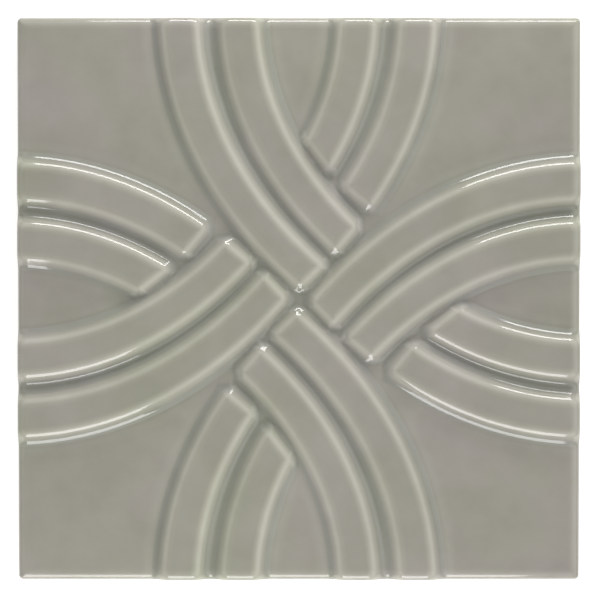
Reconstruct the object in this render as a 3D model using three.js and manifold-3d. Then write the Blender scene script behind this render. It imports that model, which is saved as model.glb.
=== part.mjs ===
// A square relief wall tile, pressed from clay and glazed, in millimetres with +Z up.
// It lies on its back: the origin is the middle of the back, +X and +Y run along two edges.
// Four long pairs of raised bands sweep in from the edges and meet at the middle, each turned
// a quarter from the last. A short pair beside each long one stops where it would pass under it.

import * as THREE from "three";
import { mergeVertices } from "three/addons/utils/BufferGeometryUtils.js";
import Module from "manifold-3d";

// The slab
const tileSide = 150;
const fieldThickness = 7;
const edgeReach = 3;
const edgeDrop = 1.9;
const cornerRound = 1;
const backEdgeChamfer = 0.6;

// The bands, measured between the corners that their crest rounds take off. Their sides end in
// a hollow round that meets the field at a lean of its own.
const reliefHeight = 2.8;
const sideSlope = 41;
const crestRound = 4.05;
const footRound = 4.35;
const footLean = 19;
const bandWidth = 8.1;
const bandSpacing = 15.9;
const pairStart = 11.6;

// The sweep of a pair: concentric ellipses about a point out beyond the tile's edge
const innerAxis = 129.75;
const axisRatio = 0.723;
const jointAllowance = 0.9;

// Where a band stops: the gap left to the crest that it meets, and how far its cut turns from
// running alongside that crest. A long band meets the next pair, a short band its own long pair.
const outerLongGap = 6;
const outerLongTurn = -3;
const innerLongGap = 6.6;
const innerLongTurn = 8.5;
const outerShortGap = 7.2;
const outerShortTurn = 7;
const innerShortGap = 6;
const innerShortTurn = 5;

const stepsAlongBand = 12;
const stepsInRound = 3;
const stepsInEdge = 4;

const radians = THREE.MathUtils.degToRad;
const half = tileSide / 2;

const wasm = await Module();
wasm.setup();

// A closed three.js geometry as a solid that can be joined and cut.
function solidFrom(geometry) {
  const bare = new THREE.BufferGeometry();
  bare.setAttribute("position", geometry.getAttribute("position"));
  bare.setIndex(geometry.getIndex());
  const merged = mergeVertices(bare, 1e-4);
  const mesh = new wasm.Mesh({
    numProp: 3,
    vertProperties: new Float32Array(merged.getAttribute("position").array),
    triVerts: new Uint32Array(merged.getIndex().array),
  });
  return new wasm.Manifold(mesh);
}

function geometryFrom(solid) {
  const mesh = solid.getMesh();
  const geometry = new THREE.BufferGeometry();
  geometry.setAttribute("position", new THREE.BufferAttribute(mesh.vertProperties, 3));
  geometry.setIndex(new THREE.BufferAttribute(mesh.triVerts, 1));
  geometry.computeVertexNormals();
  return geometry;
}

// Joins outlines of like point count, each at its own height, lowest first and anticlockwise
// from above, into one closed skin.
function loft(outlines) {
  const count = outlines[0].points.length;
  const positions = [];
  const faces = [];
  for (const { points, z } of outlines) {
    for (const point of points) positions.push(point.x, point.y, z);
  }
  for (let level = 0; level + 1 < outlines.length; level++) {
    for (let i = 0; i < count; i++) {
      const here = level * count + i;
      const next = level * count + ((i + 1) % count);
      faces.push(here, next, next + count, here, next + count, here + count);
    }
  }
  const lowest = outlines[0].points;
  const highest = outlines.at(-1).points;
  const topStart = (outlines.length - 1) * count;
  for (const [a, b, c] of THREE.ShapeUtils.triangulateShape(lowest, [])) {
    faces.push(a, c, b);
  }
  for (const [a, b, c] of THREE.ShapeUtils.triangulateShape(highest, [])) {
    faces.push(topStart + a, topStart + b, topStart + c);
  }
  const geometry = new THREE.BufferGeometry();
  geometry.setAttribute("position", new THREE.Float32BufferAttribute(positions, 3));
  geometry.setIndex(faces);
  return geometry;
}

// A square outline about the origin with rounded corners, drawn in by an inset.
function squareOutline(side, round, inset) {
  const reach = side / 2 - round;
  const radius = Math.max(round - inset, 0.05);
  const shrunkReach = Math.min(reach, side / 2 - inset - radius);
  const points = [];
  for (let corner = 0; corner < 4; corner++) {
    const middle = new THREE.Vector2(shrunkReach, shrunkReach).rotateAround(
      new THREE.Vector2(),
      (corner * Math.PI) / 2,
    );
    for (let i = 0; i <= stepsInRound; i++) {
      const angle = ((corner + i / stepsInRound) * Math.PI) / 2;
      points.push(
        new THREE.Vector2(Math.cos(angle), Math.sin(angle)).multiplyScalar(radius).add(middle),
      );
    }
  }
  return points;
}

// The slab to a given height. Its top edge falls away gently at first and then steeply, a
// quarter of an ellipse in section, and its back edge is taken off.
function roundedSlab(height) {
  const outlines = [
    { points: squareOutline(tileSide, cornerRound, backEdgeChamfer), z: 0 },
    { points: squareOutline(tileSide, cornerRound, 0), z: backEdgeChamfer },
  ];
  for (let i = 0; i <= stepsInEdge; i++) {
    const angle = ((i / stepsInEdge) * Math.PI) / 2;
    outlines.push({
      points: squareOutline(tileSide, cornerRound, edgeReach * (1 - Math.cos(angle))),
      z: height - edgeDrop * (1 - Math.sin(angle)),
    });
  }
  return solidFrom(loft(outlines));
}

// The half axes of a pair's four crests, from the inner band's inner one outwards.
const innerBandOuter = innerAxis + bandWidth;
const outerBandInner = innerAxis + bandSpacing;
const outerBandOuter = outerBandInner + bandWidth;

// The middle of a pair's ellipses, found from where its inner side crosses the tile's edge.
const sweepCentre = new THREE.Vector2(innerAxis - pairStart, half + jointAllowance);

// A point on the ellipse of a given half axis, moved out from its middle by an offset. A short
// pair follows the same ellipses as a long one, seen in a mirror.
function sweepPoint(halfAxis, angle, offset, mirrored) {
  const x = -Math.cos(angle);
  const y = -Math.sin(angle);
  const outward = new THREE.Vector2(x * axisRatio, y).normalize();
  const point = new THREE.Vector2(x, y * axisRatio)
    .multiplyScalar(halfAxis)
    .addScaledVector(outward, offset)
    .add(sweepCentre);
  if (mirrored) point.x *= -1;
  return point;
}

// How far a point is outside a long pair's crest, and which way the crest runs beside it.
function besideCrest(halfAxis, point) {
  let low = 0;
  let high = Math.PI / 2;
  for (let i = 0; i < 60; i++) {
    const third = (high - low) / 3;
    const lowGap = sweepPoint(halfAxis, low + third, 0, false).distanceTo(point);
    const highGap = sweepPoint(halfAxis, high - third, 0, false).distanceTo(point);
    if (lowGap < highGap) high -= third;
    else low += third;
  }
  const nearest = sweepPoint(halfAxis, low, 0, false);
  const along = sweepPoint(halfAxis, low + 0.01, 0, false).sub(nearest).normalize();
  const across = new THREE.Vector2(along.y, -along.x);
  return { outside: point.clone().sub(nearest).dot(across), along };
}

// The parameter at which a test first turns true, found by halving.
function firstWhere(low, high, isPast) {
  for (let i = 0; i < 40; i++) {
    const middle = (low + high) / 2;
    if (isPast(middle)) high = middle;
    else low = middle;
  }
  return high;
}

// Where a band's cut crosses its middle line, and the way out of the band square to the cut.
function cutOf(band) {
  const middleAxis = band.outerAxis - bandWidth / 2;
  const centre = new THREE.Vector2();
  const beside = (angle) => {
    const point = sweepPoint(middleAxis, angle, 0, band.mirrored);
    if (!band.mirrored) point.rotateAround(centre, Math.PI / 2);
    return besideCrest(band.mirrored ? innerAxis : outerBandOuter, point);
  };
  const side = band.mirrored ? -1 : 1;
  const isPast = (angle) => beside(angle).outside * side < band.gap;
  const stop = firstWhere(0, Math.PI / 3, isPast);
  const along = beside(stop).along;
  if (!band.mirrored) along.rotateAround(centre, -Math.PI / 2);
  along.rotateAround(centre, radians(band.turn));
  const point = sweepPoint(middleAxis, stop, 0, band.mirrored);
  const travel = sweepPoint(middleAxis, stop + 0.01, 0, band.mirrored).sub(point);
  const normal = new THREE.Vector2(-along.y, along.x);
  if (normal.dot(travel) < 0) normal.negate();
  return { point, normal };
}

// The section of a band's side: how far each level stands out from the crest's corner, and its
// height over the field. It runs up the foot's hollow, the slope and the crest's round, and the
// lowest levels are sunk in the slab, below its rounded top edge.
function sideSection() {
  const slope = radians(sideSlope);
  const lean = radians(footLean);
  const footRise = footRound * (Math.cos(lean) - Math.cos(slope));
  const footStart = (reliefHeight - footRise) / Math.tan(slope);
  const footEnd = footStart + footRound * (Math.sin(slope) - Math.sin(lean));
  const crestStart = -crestRound * Math.tan(slope / 2);
  const foot = [];
  const crest = [];
  for (let i = 0; i <= stepsInRound; i++) {
    const footAngle = THREE.MathUtils.lerp(lean, slope, i / stepsInRound);
    const crestAngle = (slope * i) / stepsInRound;
    foot.push({
      out: footEnd - footRound * (Math.sin(footAngle) - Math.sin(lean)),
      up: footRound * (Math.cos(lean) - Math.cos(footAngle)),
    });
    crest.unshift({
      out: crestStart + crestRound * Math.sin(crestAngle),
      up: reliefHeight - crestRound * (1 - Math.cos(crestAngle)),
    });
  }
  const sunk = { out: footEnd + 0.2, up: -0.2 * Math.tan(lean) };
  const root = { out: sunk.out, up: sunk.up - edgeDrop };
  return [root, sunk, ...foot, ...crest];
}

// One band: its two sides follow the sweep from beyond the tile's edge to the cut, and the
// sides and the cut lean in together, level by level.
function bandSolid(band) {
  const cut = cutOf(band);
  const start = -radians(3);
  const sideTo = (halfAxis, offset, stopPoint) => {
    const place = (angle) => sweepPoint(halfAxis, angle, offset, band.mirrored);
    const isPast = (angle) => place(angle).sub(stopPoint).dot(cut.normal) > 0;
    const stop = firstWhere(start, Math.PI / 3, isPast);
    const points = [];
    for (let i = 0; i <= stepsAlongBand; i++) {
      points.push(place(THREE.MathUtils.lerp(start, stop, i / stepsAlongBand)));
    }
    return points;
  };
  const outlines = sideSection().map(({ out, up }) => {
    const stopPoint = cut.point.clone().addScaledVector(cut.normal, out);
    const outerSide = sideTo(band.outerAxis, out, stopPoint);
    const innerSide = sideTo(band.outerAxis - bandWidth, -out, stopPoint);
    const points = [...outerSide, ...innerSide.reverse()];
    if (band.mirrored) points.reverse();
    return { points, z: fieldThickness + up };
  });
  return solidFrom(loft(outlines));
}

// The sixteen bands: a long and a short pair at each quarter turn, cut off at the tile's edge.
function bandsSolid() {
  const quarter = [
    { outerAxis: outerBandOuter, mirrored: false, gap: outerLongGap, turn: outerLongTurn },
    { outerAxis: innerBandOuter, mirrored: false, gap: innerLongGap, turn: innerLongTurn },
    { outerAxis: outerBandOuter, mirrored: true, gap: outerShortGap, turn: outerShortTurn },
    { outerAxis: innerBandOuter, mirrored: true, gap: innerShortGap, turn: innerShortTurn },
  ].map(bandSolid);
  const turned = [0, 90, 180, 270].flatMap((turn) =>
    quarter.map((band) => band.rotate([0, 0, turn])),
  );
  return wasm.Manifold.union(turned).intersect(roundedSlab(fieldThickness + reliefHeight));
}

const glaze = new THREE.MeshStandardMaterial({
  name: "grey glaze",
  color: 0x9c998e,
  roughness: 0.12,
  metalness: 0,
});

const tileSolid = roundedSlab(fieldThickness).add(bandsSolid());
const tile = new THREE.Mesh(geometryFrom(tileSolid), glaze);
tile.name = "tile";

const part = new THREE.Group();
part.add(tile);

export default part;
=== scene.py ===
# %% [markdown]
# # A glazed relief tile
# A square wall tile is pressed from clay, with double bands standing proud of its face. A glossy
# grey glaze runs thin over the crests and pools in the grooves, and its colour also holds painted
# highlight on the crests and the edge and painted light beside the bands. We give the relief its
# soft, fired shape, and then the glaze and the bare clay their looks.

import bpy
import numpy as np
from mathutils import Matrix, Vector
from mathutils.geometry import delaunay_2d_cdt
from mathutils.kdtree import KDTree


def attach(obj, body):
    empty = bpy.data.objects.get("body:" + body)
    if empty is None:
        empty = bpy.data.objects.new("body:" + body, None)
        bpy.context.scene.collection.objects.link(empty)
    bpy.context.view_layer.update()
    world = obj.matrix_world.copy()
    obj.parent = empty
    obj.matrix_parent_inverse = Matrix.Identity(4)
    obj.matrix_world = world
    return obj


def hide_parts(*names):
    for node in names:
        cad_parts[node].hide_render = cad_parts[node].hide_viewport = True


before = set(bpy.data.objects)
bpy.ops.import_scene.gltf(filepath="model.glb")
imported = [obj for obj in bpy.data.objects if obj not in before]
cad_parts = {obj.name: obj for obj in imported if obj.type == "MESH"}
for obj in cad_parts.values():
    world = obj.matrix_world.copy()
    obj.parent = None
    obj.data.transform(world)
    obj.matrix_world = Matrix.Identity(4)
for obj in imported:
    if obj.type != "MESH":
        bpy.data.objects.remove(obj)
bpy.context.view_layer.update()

# %% [markdown]
# ## Sizes
# Everything here is in millimetres until the mesh is made. The bands are measured between the
# crests of their sides. A side runs down from a rounded crest over a straight slope and a hollow
# foot, and a small round leads from the foot out into the field.

# %%
METRES_PER_MM = 0.001

TILE_SIDE = 150.0
FIELD_THICKNESS = 7.0
RELIEF_HEIGHT = 2.8
SIDE_SLOPE = np.radians(41)
CREST_ROUND = 4.05
FOOT_ROUND = 4.35
FOOT_LEAN = np.radians(19)
CREASE_ROUND = 1.2
CORNER_ROUND = 1.2
EDGE_REACH = 3.0
EDGE_DROP = 1.9
BACK_CHAMFER = 0.6

BAND_WIDTH = 8.1
BAND_SPACING = 15.9
PAIR_START = 11.6
INNER_AXIS = 129.75
AXIS_RATIO = 0.723
JOINT_ALLOWANCE = 0.9
END_CORNER_ROUND = 0.7
VALLEY_SOFTNESS = 1.2

HALF = TILE_SIDE / 2
CENTRE = np.array([INNER_AXIS - PAIR_START, HALF + JOINT_ALLOWANCE])
INNER_BAND = (INNER_AXIS, INNER_AXIS + BAND_WIDTH)
OUTER_BAND = (INNER_AXIS + BAND_SPACING, INNER_AXIS + BAND_SPACING + BAND_WIDTH)
print("the pairs sweep about", CENTRE, "and its copies at each quarter turn")

# %% [markdown]
# ## The sweep of the bands
# The sides of a pair are concentric ellipses. A long pair sweeps in from the edge to the middle
# of the tile. A short pair follows the same ellipses in a mirror, and stops at the long one.


# %%
def sweep(half_axis, angle, offset=0.0):
    x = -np.cos(angle)
    y = -np.sin(angle)
    length = np.hypot(x * AXIS_RATIO, y)
    return np.stack(
        [
            CENTRE[0] + half_axis * x + offset * x * AXIS_RATIO / length,
            CENTRE[1] + half_axis * y * AXIS_RATIO + offset * y / length,
        ],
        axis=-1,
    )


def quarter_turn(points, times):
    x, y = points[..., 0], points[..., 1]
    for _ in range(times % 4):
        x, y = -y, x
    return np.stack([x, y], axis=-1)


def find_cut(band, mirrored, gap, turn):
    """Where a band's cut crosses its middle line, and the way out of the band there."""
    along_band = sweep(sum(band) / 2, np.linspace(0, np.pi / 3, 1500))
    if mirrored:
        along_band = along_band * [-1, 1]
    met = sweep(INNER_AXIS if mirrored else OUTER_BAND[1], np.linspace(0, np.pi / 2, 3000))
    if not mirrored:
        met = quarter_turn(met, 3)
    apart = np.linalg.norm(along_band[:, None] - met[None], axis=2)
    first = int(np.argmax(apart.min(axis=1) < gap))
    nearest = int(apart[first].argmin())
    along = met[nearest + 1] - met[nearest]
    turned = np.arctan2(along[1], along[0]) + np.radians(turn)
    normal = np.array([-np.sin(turned), np.cos(turned)])
    if normal @ (along_band[first + 1] - along_band[first]) < 0:
        normal = -normal
    return along_band[first], normal


# A band is cut a gap short of the one that it meets, and the cut is turned by some degrees.
BANDS = [
    {"name": "outer long", "axes": OUTER_BAND, "mirrored": False, "gap": 6.0, "turn": -3},
    {"name": "inner long", "axes": INNER_BAND, "mirrored": False, "gap": 6.6, "turn": 8.5},
    {"name": "outer short", "axes": OUTER_BAND, "mirrored": True, "gap": 7.2, "turn": 7},
    {"name": "inner short", "axes": INNER_BAND, "mirrored": True, "gap": 6.0, "turn": 5},
]
for band in BANDS:
    band["cut"] = find_cut(band["axes"], band["mirrored"], band["gap"], band["turn"])
    print(band["name"], "band is cut at", np.round(band["cut"][0], 2))

# %% [markdown]
# ## The shape of the face
# At any point of the face we ask how far it is from the nearest crest line, inside or outside a
# band. That distance alone sets the height: a flat top, a rounded crest, a straight slope, a
# rounded foot, and the flat field.


# %%
def crest_distance(points):
    """Distance to the nearest crest line: negative on a band's top, positive outside it."""
    nearest = np.full(len(points), 99.0)
    for times in range(4):
        turned = quarter_turn(points, -times)
        for band in BANDS:
            local = turned * [-1, 1] if band["mirrored"] else turned
            dx = local[:, 0] - CENTRE[0]
            dy = local[:, 1] - CENTRE[1]
            level = np.hypot(dx, dy / AXIS_RATIO)
            steepness = np.hypot(dx, dy / AXIS_RATIO**2) / level
            middle = sum(band["axes"]) / 2
            side = (np.abs(level - middle) - BAND_WIDTH / 2) / steepness + END_CORNER_ROUND
            point, normal = band["cut"]
            end = (turned - point) @ normal + END_CORNER_ROUND
            outside = np.hypot(np.maximum(side, 0), np.maximum(end, 0))
            inside = np.minimum(np.maximum(side, end), 0)
            far = outside + inside - END_CORNER_ROUND
            blend = np.maximum(VALLEY_SOFTNESS - np.abs(far - nearest), 0) / VALLEY_SOFTNESS
            nearest = np.minimum(far, nearest) - blend**2 * VALLEY_SOFTNESS / 4
    return nearest


# The side's section, from the crest's corner outwards: where each round starts and ends.
CREST_START = -CREST_ROUND * np.tan(SIDE_SLOPE / 2)
CREST_END = CREST_START + CREST_ROUND * np.sin(SIDE_SLOPE)
CREASE_RISE = CREASE_ROUND * (1 - np.cos(FOOT_LEAN))
FOOT_RISE = CREASE_RISE + FOOT_ROUND * (np.cos(FOOT_LEAN) - np.cos(SIDE_SLOPE))
FOOT_START = (RELIEF_HEIGHT - FOOT_RISE) / np.tan(SIDE_SLOPE)
CREASE_START = FOOT_START + FOOT_ROUND * (np.sin(SIDE_SLOPE) - np.sin(FOOT_LEAN))
CREASE_END = CREASE_START + CREASE_ROUND * np.sin(FOOT_LEAN)


def relief(distance):
    """Height over the field at a distance from the crest line."""
    on_crest = np.clip(distance - CREST_START, 0, CREST_ROUND * np.sin(SIDE_SLOPE))
    crest = RELIEF_HEIGHT - CREST_ROUND + np.sqrt(CREST_ROUND**2 - on_crest**2)
    slope = RELIEF_HEIGHT - distance * np.tan(SIDE_SLOPE)
    in_foot = np.clip(CREASE_START - distance, 0, FOOT_START) + FOOT_ROUND * np.sin(FOOT_LEAN)
    in_foot = np.minimum(in_foot, FOOT_ROUND * np.sin(SIDE_SLOPE))
    hollow = np.sqrt(FOOT_ROUND**2 - in_foot**2)
    foot = CREASE_RISE + FOOT_ROUND * np.cos(FOOT_LEAN) - hollow
    in_crease = np.clip(CREASE_END - distance, 0, CREASE_ROUND * np.sin(FOOT_LEAN))
    crease = CREASE_ROUND - np.sqrt(CREASE_ROUND**2 - in_crease**2)
    parts = [crest, slope, foot]
    ends = [distance < CREST_END, distance < FOOT_START, distance < CREASE_START]
    return np.select(ends, parts, crease)


def edge_inset(points):
    """Distance in from the tile's outline, which has rounded corners."""
    past = np.abs(points) - (HALF - CORNER_ROUND)
    outside = np.linalg.norm(np.maximum(past, 0), axis=1)
    inside = np.minimum(past.max(axis=1), 0)
    return np.maximum(CORNER_ROUND - outside - inside, 0)


def edge_fall(inset):
    """How far the face has dropped near the edge, a quarter ellipse, and how steeply it falls."""
    short = np.clip(1 - inset / EDGE_REACH, 0, 1)
    upright = np.sqrt(1 - short**2)
    return EDGE_DROP * (1 - upright), EDGE_DROP * short, EDGE_REACH * upright


def face_height(points):
    drop, _, _ = edge_fall(edge_inset(points))
    return FIELD_THICKNESS + relief(crest_distance(points)) - drop


print("a band's side runs out", round(CREASE_END - CREST_START, 2), "mm with its rounds")

# %% [markdown]
# ## Points on one quarter of the face
# The points follow the crest lines at set distances, close together where the face turns and
# wide apart where it is flat, so the rounds stay smooth without many faces.

# %%
ROWS = np.concatenate(
    [
        [-3.2, -2.4, -1.9],
        np.linspace(CREST_START, CREST_END, 10),
        [(CREST_END + FOOT_START) / 2],
        np.linspace(FOOT_START, CREASE_START, 8),
        CREASE_START + (CREASE_END - CREASE_START) * np.array([0.35, 0.7, 1.0]),
        [4.2, 4.8, 5.6],
    ]
)
ALONG_STEP = 1.1
FILL_STEP = 2.6
BORDER_STEP = 1.6
ROW_TOLERANCE = 0.02
CLOSEST = 0.05
CLOSEST_CROSSING = 0.08
OFF_THE_BORDER = 0.12
SWEEP_REACH = (-0.03, 1.0)
CUT_REACH = 12.0
CUT_STEP = 0.5


def evenly(low, high, step):
    return np.linspace(low, high, max(2, int(abs(high - low) / step) + 1))


def side_rows(band, row):
    """Points along both sides of a band and across its end, at a row's distance."""
    point, normal = band["cut"]
    parts = []
    for half_axis, sign in ((band["axes"][1], 1), (band["axes"][0], -1)):
        angle = evenly(*SWEEP_REACH, ALONG_STEP / half_axis)
        parts.append(sweep(half_axis, angle, sign * row))
    if band["mirrored"]:
        parts = [part * [-1, 1] for part in parts]
    along = np.array([-normal[1], normal[0]])
    across = evenly(-CUT_REACH, CUT_REACH, CUT_STEP)
    parts.append(point + normal * row + along * across[:, None])
    for corner in band["corners"]:
        angle = np.radians(np.arange(0, 360, 6))
        circle = np.stack([np.cos(angle), np.sin(angle)], axis=-1)
        parts.append(corner + circle * max(END_CORNER_ROUND + row, 0.0))
    return np.concatenate(parts)


def corner_centre(band, half_axis, sign):
    """The middle of the round between a band's side and its cut."""
    point, normal = band["cut"]
    line = sweep(half_axis, np.linspace(0, 1.2, 60000), -sign * END_CORNER_ROUND)
    if band["mirrored"]:
        line = line * [-1, 1]
    off = np.abs((line - point) @ normal + END_CORNER_ROUND)
    return line[off.argmin()]


for band in BANDS:
    inner, outer = band["axes"]
    band["corners"] = [corner_centre(band, outer, 1), corner_centre(band, inner, -1)]

rows = []
for row in ROWS:
    for band in BANDS:
        drawn = side_rows(band, row)
        for times in range(4):
            turned = quarter_turn(drawn, times)
            off_border = turned.min(axis=1) > OFF_THE_BORDER
            turned = turned[off_border & (turned.max(axis=1) < HALF - 0.5)]
            if len(turned):
                true_row = np.abs(crest_distance(turned) - row) < ROW_TOLERANCE
                rows.append(turned[true_row])
rows = np.concatenate(rows)
rows = rows[edge_inset(rows) > EDGE_REACH + 0.15]

# The flats' own points lie on a staggered grid, clear of the rows and of the edge.
grid = np.arange(FILL_STEP / 2, HALF, FILL_STEP)
fill = np.stack(np.meshgrid(grid, grid), axis=-1).reshape(-1, 2)
fill[:, 0] += (np.arange(len(fill)) // len(grid) % 2 - 0.5) * FILL_STEP / 2
distance = crest_distance(fill)
flat = (distance > ROWS[-1] + 1) | (distance < ROWS[0] - 0.7)
fill = fill[flat & (edge_inset(fill) > EDGE_REACH + 1)]
print(len(rows), "points on the rows,", len(fill), "on the flats")

# %% [markdown]
# The quarter's own two borders, which meet the next quarters, get the same points, so the four
# copies join without a gap. Along the tile's edge the points run down over its round.


# %%
def crossings(line, step):
    """Places along a line where it crosses the rows, filled in where they are far apart."""
    along = np.linspace(0, 1, len(line))
    length = np.linalg.norm(line[-1] - line[0])
    distance = crest_distance(line)
    found = [0.0, 1.0]
    for row in ROWS:
        change = np.nonzero(np.diff(np.sign(distance - row)))[0]
        for i in change:
            share = (row - distance[i]) / (distance[i + 1] - distance[i])
            found.append(along[i] + share * (along[i + 1] - along[i]))
    found = np.unique(np.round(found, 7)) * length
    kept = [found[0]]
    for place in found[1:]:
        if place - kept[-1] > CLOSEST_CROSSING:
            kept.append(place)
    kept[-1] = length
    filled = []
    for low, high in zip(kept, kept[1:]):
        filled.extend(evenly(low, high, step)[:-1] if high - low > step else [low])
    return np.array(filled + [length])


fine = np.linspace(0, 1, 20001)[:, None]
border = crossings(fine * [HALF - EDGE_REACH, 0.0], BORDER_STEP)
border = border[(border > 0.05) & (border < HALF - EDGE_REACH - 0.3)]
axis_points = np.concatenate(
    [[[0.0, 0.0]], np.stack([border, 0 * border], -1), np.stack([0 * border, border], -1)]
)

# The edge's points, from the right-hand side round the corner to the top. The rows are sought
# on a line just inside each side, which stops short of the corner's round.
LINE_INSET = 1.0
SHORT_OF_CORNER = 0.6
length = HALF - CORNER_ROUND - SHORT_OF_CORNER
right = crossings(np.array([HALF - LINE_INSET, 0.0]) + fine * [0.0, length], BORDER_STEP)
top = crossings(np.array([0.0, HALF - LINE_INSET]) + fine * [length, 0.0], BORDER_STEP)
round_insets = EDGE_REACH * (1 - np.cos(np.linspace(0, np.pi / 2, 13)))[::-1]
edge_rows = []
for inset in round_insets:
    corner_radius = max(CORNER_ROUND - inset, 0)
    reach = HALF - inset - corner_radius
    angle = np.radians(np.linspace(0, 90, 9))
    arc = reach + corner_radius * np.stack([np.cos(angle), np.sin(angle)], -1)
    if corner_radius == 0:
        arc = arc[:1]
    up = np.stack([np.full_like(right, HALF - inset), right], -1)
    back = np.stack([top, np.full_like(top, HALF - inset)], -1)[::-1]
    up = up[up[:, 1] < reach - CLOSEST]
    back = back[back[:, 0] < reach - CLOSEST]
    edge_rows.append(np.concatenate([up, arc, back]))
outline = edge_rows[-1]
print(len(border), "points on each border,", len(outline), "along the tile's edge")

# %% [markdown]
# ## One quarter of the tile as a mesh
# The points of the face are joined into triangles and lifted to their height. The walls drop
# from the outline to the back's small chamfer, and the back closes the quarter from below.

# %%
def thinned(points, closest):
    """The points without those that come closer than this to an earlier one."""
    near = KDTree(len(points))
    for i, (x, y) in enumerate(points):
        near.insert((x, y, 0), i)
    near.balance()
    kept = np.ones(len(points), bool)
    for i, (x, y) in enumerate(points):
        if kept[i]:
            for _, other, _ in near.find_range((x, y, 0), closest):
                kept[other] &= other <= i
    return points[kept]


face_points = thinned(np.concatenate([axis_points, *edge_rows, rows, fill]), CLOSEST)
flat_points, _, triangles, _, _, _ = delaunay_2d_cdt(
    [Vector(point) for point in face_points], [], [], 0, 1e-5
)
face = np.array([point[:] for point in flat_points])
positions = [np.column_stack([face, face_height(face)])]
polygons = [list(triangle) for triangle in triangles]


def add_ring(points, z):
    start = sum(len(part) for part in positions)
    positions.append(np.column_stack([points, np.full(len(points), z)]))
    return list(range(start, start + len(points)))


def nearest_index(points):
    apart = np.linalg.norm(face[:, None] - points[None], axis=2)
    return list(apart.argmin(axis=0))


inner_outline = outline * (HALF - BACK_CHAMFER) / HALF
rings = [nearest_index(outline)]
rings.append(add_ring(outline, FIELD_THICKNESS / 2))
rings.append(add_ring(outline, BACK_CHAMFER))
rings.append(add_ring(inner_outline, 0.0))
for above, below in zip(rings, rings[1:]):
    for i in range(len(outline) - 1):
        polygons.append([above[i + 1], above[i], below[i], below[i + 1]])

back_grid = np.linspace(0, HALF - BACK_CHAMFER, 12)[:-1]
back_inside = np.stack(np.meshgrid(back_grid, back_grid), axis=-1).reshape(-1, 2)
back_flat, _, back_triangles, _, _, _ = delaunay_2d_cdt(
    [Vector(point) for point in np.concatenate([inner_outline, back_inside])], [], [], 0, 1e-5
)
back_start = sum(len(part) for part in positions)
back = np.array([point[:] for point in back_flat])
positions.append(np.column_stack([back, np.zeros(len(back))]))
polygons.extend([back_start + i for i in reversed(tri)] for tri in back_triangles)

positions = np.concatenate(positions) * METRES_PER_MM
quarter_mesh = bpy.data.meshes.new("tile_quarter")
quarter_mesh.from_pydata(positions.tolist(), [], polygons)
quarter_mesh.update()
print("the quarter has", len(quarter_mesh.vertices), "points", len(polygons), "faces")

# %% [markdown]
# ## Four quarters make the tile
# The pattern repeats at each quarter turn, so a node tree sets four turned copies about the
# middle, welds them along their borders and gives them the glaze.


# %%
def linear(hex_colour):
    """An sRGB colour such as "#9c998e" as the linear values that Blender works in."""
    values = [int(hex_colour[i : i + 2], 16) / 255 for i in (1, 3, 5)]
    return tuple(v / 12.92 if v <= 0.04045 else ((v + 0.055) / 1.055) ** 2.4 for v in values)


def add_node(tree, kind, settings=None, links=None):
    """Adds a node, with its properties and inputs set and other nodes' outputs linked in."""
    node = tree.nodes.new(kind)
    for name, value in (settings or {}).items():
        if isinstance(name, str) and hasattr(node, name):
            setattr(node, name, value)
        else:
            node.inputs[name].default_value = value
    for name, output in (links or {}).items():
        tree.links.new(output, node.inputs[name])
    return node


def feed(tree, node, sockets, given):
    """Gives each of a node's inputs a value, or the output of another node."""
    for socket, value in zip(sockets, given):
        if isinstance(value, bpy.types.NodeSocket):
            tree.links.new(value, node.inputs[socket])
        else:
            node.inputs[socket].default_value = value


glaze = bpy.data.materials.new("gloss_grey_glaze")
tree = bpy.data.node_groups.new("quarters about the middle", "GeometryNodeTree")
tree.interface.new_socket("Geometry", in_out="INPUT", socket_type="NodeSocketGeometry")
tree.interface.new_socket("Geometry", in_out="OUTPUT", socket_type="NodeSocketGeometry")
inputs = {}
for name, kind, value in (
    ("Quarters", "NodeSocketInt", 4),
    ("Seam weld", "NodeSocketFloat", 0.00001),
):
    socket = tree.interface.new_socket(name, in_out="INPUT", socket_type=kind)
    socket.default_value = value
    inputs[name] = (socket.identifier, value)

given = tree.nodes.new("NodeGroupInput")
whole = add_node(tree, "GeometryNodeGeometryToInstance", links={0: given.outputs["Geometry"]})
copies = add_node(
    tree,
    "GeometryNodeDuplicateElements",
    {"domain": "INSTANCE"},
    {"Geometry": whole.outputs[0], "Amount": given.outputs["Quarters"]},
)
share = add_node(
    tree,
    "ShaderNodeMath",
    {"operation": "DIVIDE"},
    {0: copies.outputs["Duplicate Index"], 1: given.outputs["Quarters"]},
)
turn = add_node(
    tree, "ShaderNodeMath", {"operation": "MULTIPLY", 1: 2 * np.pi}, {0: share.outputs[0]}
)
rotation = add_node(tree, "ShaderNodeCombineXYZ", links={"Z": turn.outputs[0]})
as_turn = add_node(tree, "FunctionNodeEulerToRotation", links={0: rotation.outputs[0]})
turned = add_node(
    tree,
    "GeometryNodeRotateInstances",
    links={"Instances": copies.outputs["Geometry"], "Rotation": as_turn.outputs[0]},
)
real = add_node(tree, "GeometryNodeRealizeInstances", links={0: turned.outputs[0]})
welded = add_node(
    tree,
    "GeometryNodeMergeByDistance",
    links={"Geometry": real.outputs[0], "Distance": given.outputs["Seam weld"]},
)
glazed = add_node(
    tree, "GeometryNodeSetMaterial", {"Material": glaze}, {"Geometry": welded.outputs[0]}
)
smooth = add_node(tree, "GeometryNodeSetShadeSmooth", links={0: glazed.outputs[0]})
result = tree.nodes.new("NodeGroupOutput")
tree.links.new(smooth.outputs[0], result.inputs["Geometry"])

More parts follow.
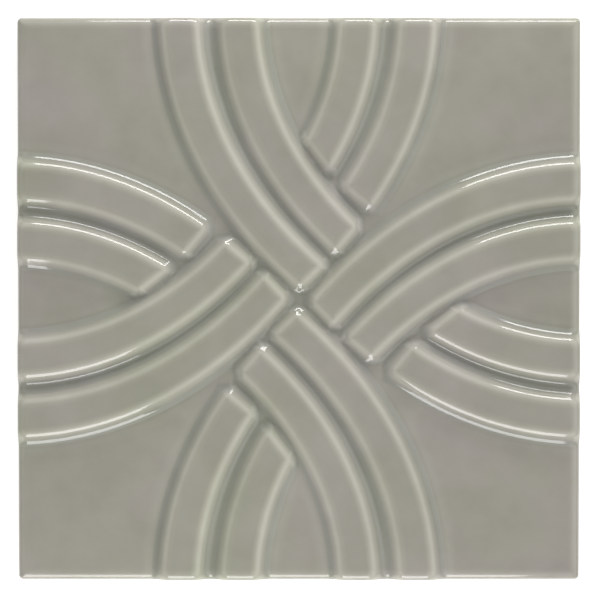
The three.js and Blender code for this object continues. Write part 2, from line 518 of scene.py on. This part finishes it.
quarter = bpy.data.objects.new("tile_quarter", quarter_mesh)
bpy.context.scene.collection.objects.link(quarter)
modifier = quarter.modifiers.new("quarters", "NODES")
modifier.node_group = tree
for identifier, value in inputs.values():
    modifier[identifier] = value
bpy.context.view_layer.update()
evaluated = quarter.evaluated_get(bpy.context.evaluated_depsgraph_get())
tile_mesh = bpy.data.meshes.new_from_object(evaluated)
tile_mesh.name = "glazed_tile"
bpy.data.objects.remove(quarter)
tile = bpy.data.objects.new("glazed_tile", tile_mesh)
bpy.context.scene.collection.objects.link(tile)
print("the tile has", len(tile_mesh.vertices), "points,", len(tile_mesh.polygons), "faces")

# %% [markdown]
# ## Smooth light across the rounds
# Each point is told how the true surface leans there, so that highlights run clean along the
# crests. It also keeps its distances from the crest line and from the tile's outline, for the
# glaze's colour and its painted light to read.

# %%
count = len(tile_mesh.vertices)
flat_array = np.empty(count * 3)
tile_mesh.vertices.foreach_get("co", flat_array)
spots = flat_array.reshape(-1, 3) / METRES_PER_MM
plan = spots[:, :2]
inset = edge_inset(plan)
NUDGE = 0.01
lean = np.zeros((count, 2))
for axis in range(2):
    step = np.zeros(2)
    step[axis] = NUDGE
    higher = relief(crest_distance(plan + step))
    lower = relief(crest_distance(plan - step))
    lean[:, axis] = (higher - lower) / (2 * NUDGE)
_, falls, goes = edge_fall(inset)
corner = HALF - np.maximum(CORNER_ROUND, inset + 0.01)
past_corner = np.maximum(np.abs(plan) - corner[:, None], 0) + 1e-9
outward = np.sign(plan) * past_corner / np.linalg.norm(past_corner, axis=1)[:, None]
normals = np.column_stack([-lean * goes[:, None] + outward * falls[:, None], goes])
on_wall = spots[:, 2] < FIELD_THICKNESS / 2 + 0.01
normals[on_wall] = np.column_stack([outward[on_wall], np.zeros(on_wall.sum())])
normals[spots[:, 2] < 0.001] = (0, 0, -1)
normals /= np.linalg.norm(normals, axis=1)[:, None]
tile_mesh.normals_split_custom_set_from_vertices(normals)

CREST_RANGE = (-4.0, 8.0)
EDGE_RANGE = (0.0, 6.0)
for name, distances, limits in (
    ("from_crest_mm", crest_distance(plan), CREST_RANGE),
    ("from_edge_mm", inset, EDGE_RANGE),
):
    kept = np.clip(distances, *limits)
    attribute = tile_mesh.attributes.new(name, "FLOAT", "POINT")
    attribute.data.foreach_set("value", kept.astype(np.float32))
    print(name, "runs from", kept.min().round(2), "to", kept.max().round(2))

# %% [markdown]
# ## The glaze by its thickness, with painted light
# A gloss stoneware glaze lies over a pale body. It breaks lighter where it ran thin in the fire,
# on the crests and over the tile's edge, and deepens to green-grey where it pooled at the foot of
# the slopes. The lighter colour on the crests and over the edge's round is also painted
# highlight, and a strip just past each foot is painted lighter against the shade beside the
# bands. Two ramps over the kept distances give that, in real millimetres.

# %%
glaze.use_nodes = True
tree = glaze.node_tree
tree.nodes.clear()
output = tree.nodes.new("ShaderNodeOutputMaterial")
look = {"Metallic": 0.0, "IOR": 1.5, "Specular IOR Level": 0.5}
shader = add_node(tree, "ShaderNodeBsdfPrincipled", look)
tree.links.new(shader.outputs[0], output.inputs["Surface"])
object_place = add_node(tree, "ShaderNodeTexCoord").outputs["Object"]

# Distance from the crest line in mm (inside a band it is negative) and the colour there. Over the
# crest it is lighter, partly from thin glaze and partly painted highlight. It is darker where the
# glaze pooled at the foot. Just past the foot it is painted lighter against the shade beside the
# bands.
CREST_TONES = (
    (-1.6, "#96948b"),
    (-0.4, "#9f9d92"),
    (0.3, "#aaa89d"),
    (0.9, "#adaba0"),
    (2.0, "#9b9a91"),
    (2.7, "#8a8a82"),
    (3.2, "#888980"),
    (4.0, "#99978e"),
    (5.0, "#9b9990"),
    (7.0, "#95928a"),
)
# Distance in from the outline in mm, and how much of the light colour the glaze takes there. That
# lighter band over the edge's round is partly thin glaze and partly a painted sheen.
EDGE_SHARES = ((0.0, 0.1), (0.6, 0.4), (1.5, 0.25), (3.2, 0.0))
THIN_GLAZE_AND_PAINTED_SHEEN = "#aeaca0"


def add_ramp(tree, attribute, limits, stops):
    """Reads a distance kept on the mesh and gives the stops' colours along it."""
    low, high = limits
    value = add_node(tree, "ShaderNodeAttribute", {"attribute_name": attribute})
    scaled = add_node(
        tree,
        "ShaderNodeMapRange",
        {"From Min": low, "From Max": high},
        {"Value": value.outputs["Fac"]},
    )
    ramp = add_node(tree, "ShaderNodeValToRGB", links={"Fac": scaled.outputs[0]})
    stops_made = ramp.color_ramp.elements
    while len(stops_made) < len(stops):
        stops_made.new(1.0)
    for stop, (distance, colour) in zip(stops_made, stops):
        stop.position = (distance - low) / (high - low)
        stop.color = colour
    return ramp.outputs["Color"]


def mix(tree, kind, amount, first, second):
    """Blends two colours. Each of the three may be a value or another node's output."""
    node = add_node(tree, "ShaderNodeMix", {"data_type": "RGBA", "blend_type": kind})
    feed(tree, node, (0, 6, 7), (amount, first, second))
    return node.outputs[2]


def opaque(hex_colour):
    return (*linear(hex_colour), 1)


crest_stops = [(distance, opaque(colour)) for distance, colour in CREST_TONES]
edge_stops = [(distance, (share, share, share, 1)) for distance, share in EDGE_SHARES]
# The crest ramp carries painted highlight on the crests and painted light past the feet, as well
# as the glaze's depth.
glaze_depth_and_painted_light = add_ramp(tree, "from_crest_mm", CREST_RANGE, crest_stops)
# The edge ramp carries a painted sheen over the edge's round, as well as thin glaze.
edge_thin_glaze_and_painted_sheen = add_ramp(tree, "from_edge_mm", EDGE_RANGE, edge_stops)
glaze_tone_and_painted_light = mix(tree, "MIX", edge_thin_glaze_and_painted_sheen, glaze_depth_and_painted_light, opaque(THIN_GLAZE_AND_PAINTED_SHEEN))
print("the glaze's colour follows", len(CREST_TONES), "and", len(EDGE_SHARES), "stops")

# %% [markdown]
# ## Drift in the glaze
# The kiln leaves no two patches quite alike: wide clouds lean to green or to violet, and a finer
# mottle sits in them. The sprayed surface also keeps a very slight waviness, which makes the
# lines of light on the crests a little uneven.

# %%
CLOUD_SIZE = 0.030
SHADE_SIZE = 0.014
MOTTLE_SIZE = 0.005
WAVE_SIZE = 0.0045
WAVE_HEIGHT = 0.000006
NOISE_RANGE = (0.32, 0.68)


def add_noise(tree, size, detail, low, high):
    """Smooth noise with features of a size in metres, spread from a low to a high value."""
    settings = {"Scale": 1 / size, "Detail": detail}
    noise = add_node(tree, "ShaderNodeTexNoise", settings, {"Vector": object_place})
    settings = {
        "From Min": NOISE_RANGE[0],
        "From Max": NOISE_RANGE[1],
        "To Min": low,
        "To Max": high,
    }
    spread = add_node(tree, "ShaderNodeMapRange", settings, {"Value": noise.outputs["Fac"]})
    return spread.outputs[0]


clouds = add_noise(tree, CLOUD_SIZE, 3.0, 0.0, 1.0)
mottle = add_noise(tree, MOTTLE_SIZE, 2.0, 0.0, 1.0)
shades = add_noise(tree, SHADE_SIZE, 3.0, 0.0, 1.0)
cast = mix(tree, "MIX", clouds, opaque("#fcfff7"), opaque("#fffcff"))
shade = mix(tree, "MIX", shades, opaque("#f4f4f3"), opaque("#ffffff"))
speckle = mix(tree, "MIX", mottle, opaque("#fbfbfa"), opaque("#ffffff"))
drifted = glaze_tone_and_painted_light
for layer in (cast, shade, speckle):
    drifted = mix(tree, "MULTIPLY", 1.0, drifted, layer)
gloss = add_noise(tree, MOTTLE_SIZE, 1.0, 0.05, 0.075)
waves = add_noise(tree, WAVE_SIZE, 1.0, 0.0, 1.0)
print("clouds of", CLOUD_SIZE * 1000, "mm and a mottle of", MOTTLE_SIZE * 1000, "mm")

# %% [markdown]
# ## Bare clay on the back
# The glaze stops in an uneven line low on the walls. Below it, and on the whole back, the pale
# fired body is bare: matt, a little sandy, with faint darker grains.

# %%
GLAZE_LINE = 0.0016
LINE_WANDER = 0.0005
LINE_SOFTNESS = 0.0001
WANDER_SIZE = 0.008
GRAIN_SIZE = 0.0006
CLAY = "#cfc6b4"
GRAIN = "#b9ae9a"

height = add_node(tree, "ShaderNodeSeparateXYZ", links={0: object_place}).outputs["Z"]
wander = add_noise(tree, WANDER_SIZE, 3.0, -LINE_WANDER, LINE_WANDER)
uneven = add_node(tree, "ShaderNodeMath", {"operation": "ADD"}, {0: height, 1: wander})
glazed_share = add_node(
    tree,
    "ShaderNodeMapRange",
    {"From Min": GLAZE_LINE - LINE_SOFTNESS, "From Max": GLAZE_LINE + LINE_SOFTNESS},
    {"Value": uneven.outputs[0]},
).outputs[0]
grains = add_noise(tree, GRAIN_SIZE, 4.0, 0.0, 1.0)
clay = mix(tree, "MIX", grains, opaque(CLAY), opaque(GRAIN))
tree.links.new(mix(tree, "MIX", glazed_share, clay, drifted), shader.inputs["Base Color"])


def add_choice(bare, covered):
    """A value on the bare clay that gives way to another where the glaze lies."""
    node = add_node(tree, "ShaderNodeMix", {"data_type": "FLOAT"})
    feed(tree, node, (0, 2, 3), (glazed_share, bare, covered))
    return node.outputs[0]


tree.links.new(add_choice(0.85, gloss), shader.inputs["Roughness"])
unevenness = add_choice(grains, waves)
settings = {"Strength": 1.0, "Distance": WAVE_HEIGHT}
bump = add_node(tree, "ShaderNodeBump", settings, {"Height": unevenness})
tree.links.new(bump.outputs[0], shader.inputs["Normal"])
print("the glaze has", len(tree.nodes), "nodes and stops about", GLAZE_LINE * 1000, "mm up")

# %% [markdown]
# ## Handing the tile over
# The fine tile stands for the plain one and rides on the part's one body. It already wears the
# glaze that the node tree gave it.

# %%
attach(tile, "root")
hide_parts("tile")

# %% [markdown]
# ## A pale floor
# The tile lies on a plain floor, kept so pale that it shows no more than a hint of shadow.

# %%
FLOOR_REACH = 2.0
FLOOR_GAP = 0.0002
floor_mesh = bpy.data.meshes.new("floor")
corners = [(x * FLOOR_REACH, y * FLOOR_REACH, 0) for x, y in ((-1, -1), (1, -1), (1, 1), (-1, 1))]
floor_mesh.from_pydata(corners, [], [(0, 1, 2, 3)])
floor = bpy.data.objects.new("floor", floor_mesh)
floor.location.z = -FLOOR_GAP
bpy.context.scene.collection.objects.link(floor)
pale = bpy.data.materials.new("pale_floor")
pale.use_nodes = True
pale_shader = pale.node_tree.nodes["Principled BSDF"]
pale_shader.inputs["Base Color"].default_value = opaque("#f3f3f3")
pale_shader.inputs["Roughness"].default_value = 0.9
pale_shader.inputs["Emission Color"].default_value = (1, 1, 1, 1)
pale_shader.inputs["Emission Strength"].default_value = 0.45
floor_mesh.materials.append(pale)
print("the floor lies", FLOOR_GAP / METRES_PER_MM, "mm under the tile")

# %% [markdown]
# ## Two soft boxes
# A low box beyond the tile's top side draws a thin double line of light along each upper crest
# and its foot. A deeper box beyond the lower side does the same there. Both are about 0.38 m
# from the tile. A quarter of the near box's light only shines on the gloss, so its lines stay
# bright while the slopes that face it stay calm. Each box is given by where it stands, its
# width, its height and its radiance.


# %%
def add_light(name, place, width, height, radiance):
    """A soft box at a place, turned to the tile, as bright all over as this radiance."""
    data = bpy.data.lights.new(name, "AREA")
    data.shape = "RECTANGLE"
    data.size = width
    data.size_y = height
    data.energy = radiance * np.pi * width * height
    light = bpy.data.objects.new(name, data)
    light.location = place
    light.rotation_euler = (-Vector(place)).to_track_quat("-Z", "Y").to_euler()
    bpy.context.scene.collection.objects.link(light)
    return light


add_light("far_box", (0.0615, 0.358, 0.131), 0.283, 0.078, 11.8)
near = ((-0.032, -0.361, 0.127), 0.232, 0.156)
add_light("near_box", *near, 6.6)
shine = add_light("near_shine", *near, 2.2)
shine.visible_diffuse = False
print("the lights:", [light.name for light in bpy.data.lights])

# %% [markdown]
# ## The studio's own light
# Pale walls send soft light from all round, more of it from the right. Straight above it is
# dark, so the flats show the glaze's own colour. The sky's strength is drawn from the direction:
# a base, and soft panels between two elevations.

# %%
world = bpy.data.worlds.new("studio")
bpy.context.scene.world = world
world.use_nodes = True
sky = world.node_tree
background = sky.nodes["Background"]
direction = add_node(sky, "ShaderNodeTexCoord").outputs["Generated"]
parts = add_node(sky, "ShaderNodeSeparateXYZ", links={0: direction}).outputs


def calculate(operation, first, second=0.0):
    """One step of arithmetic on values or other nodes' outputs in the sky."""
    node = add_node(sky, "ShaderNodeMath", {"operation": operation})
    feed(sky, node, (0, 1), (first, second))
    return node.outputs[0]


elevation = calculate("ARCSINE", parts["Z"])
azimuth = calculate("ARCTAN2", parts["Y"], parts["X"])


def smooth_step(value, start, end, low=0.0, high=1.0):
    """A soft edge: low before the start and high past the end, both in degrees."""
    settings = {
        "interpolation_type": "SMOOTHSTEP",
        "From Min": np.radians(start),
        "From Max": np.radians(end),
        "To Min": low,
        "To Max": high,
    }
    return add_node(sky, "ShaderNodeMapRange", settings, {"Value": value}).outputs[0]


def soft_panel(middle, reach, low, high, edge, radiance):
    """A wide panel of light about an azimuth, between two elevations, in degrees."""
    off = calculate("SUBTRACT", azimuth, np.radians(middle))
    folded = add_node(sky, "ShaderNodeMath", {"operation": "WRAP", 1: np.pi, 2: -np.pi}, {0: off})
    away = calculate("ABSOLUTE", folded.outputs[0])
    across = smooth_step(away, reach - 2 * edge, reach + 2 * edge, 1, 0)
    above = smooth_step(elevation, low - edge, low + edge)
    below = smooth_step(elevation, high - edge, high + edge, radiance, 0)
    return calculate("MULTIPLY", calculate("MULTIPLY", across, above), below)


BASE_RADIANCE = 0.25
all_round = soft_panel(0, 200, 17, 50, 6, 0.6)
from_right = soft_panel(-5, 80, 17, 64, 8, 0.8)
from_upper_left = soft_panel(115, 30, 17, 62, 8, 0.5)
panels = calculate("ADD", all_round, calculate("ADD", from_right, from_upper_left))
strength = calculate("ADD", panels, BASE_RADIANCE)
seen = add_node(sky, "ShaderNodeLightPath").outputs["Is Camera Ray"]
sky.links.new(calculate("MAXIMUM", strength, seen), background.inputs["Strength"])
background.inputs["Color"].default_value = (1, 1, 1, 1)
print("the sky has", len(sky.nodes), "nodes")

# %% [markdown]
# ## The camera
# It looks straight down from 0.8 m with a long lens, leaning two degrees from the upright, so
# that the tile's top side comes out a touch wider than its lower side.

# %%
CAMERA_HEIGHT = 0.8
CAMERA_LEAN = np.radians(2.06)
AIM = (0.0003, 0.0, 0.0095)
camera_data = bpy.data.cameras.new("camera")
camera_data.sensor_width = 36
camera_data.lens = 180.75
camera = bpy.data.objects.new("camera", camera_data)
lean_out = CAMERA_HEIGHT * np.tan(CAMERA_LEAN)
camera.location = (AIM[0], AIM[1] + lean_out, AIM[2] + CAMERA_HEIGHT)
camera.rotation_euler = (-CAMERA_LEAN, 0, 0)
bpy.context.scene.collection.objects.link(camera)
bpy.context.scene.camera = camera
bpy.context.scene.view_settings.view_transform = "Standard"
print("the camera stands at", camera.location[:])
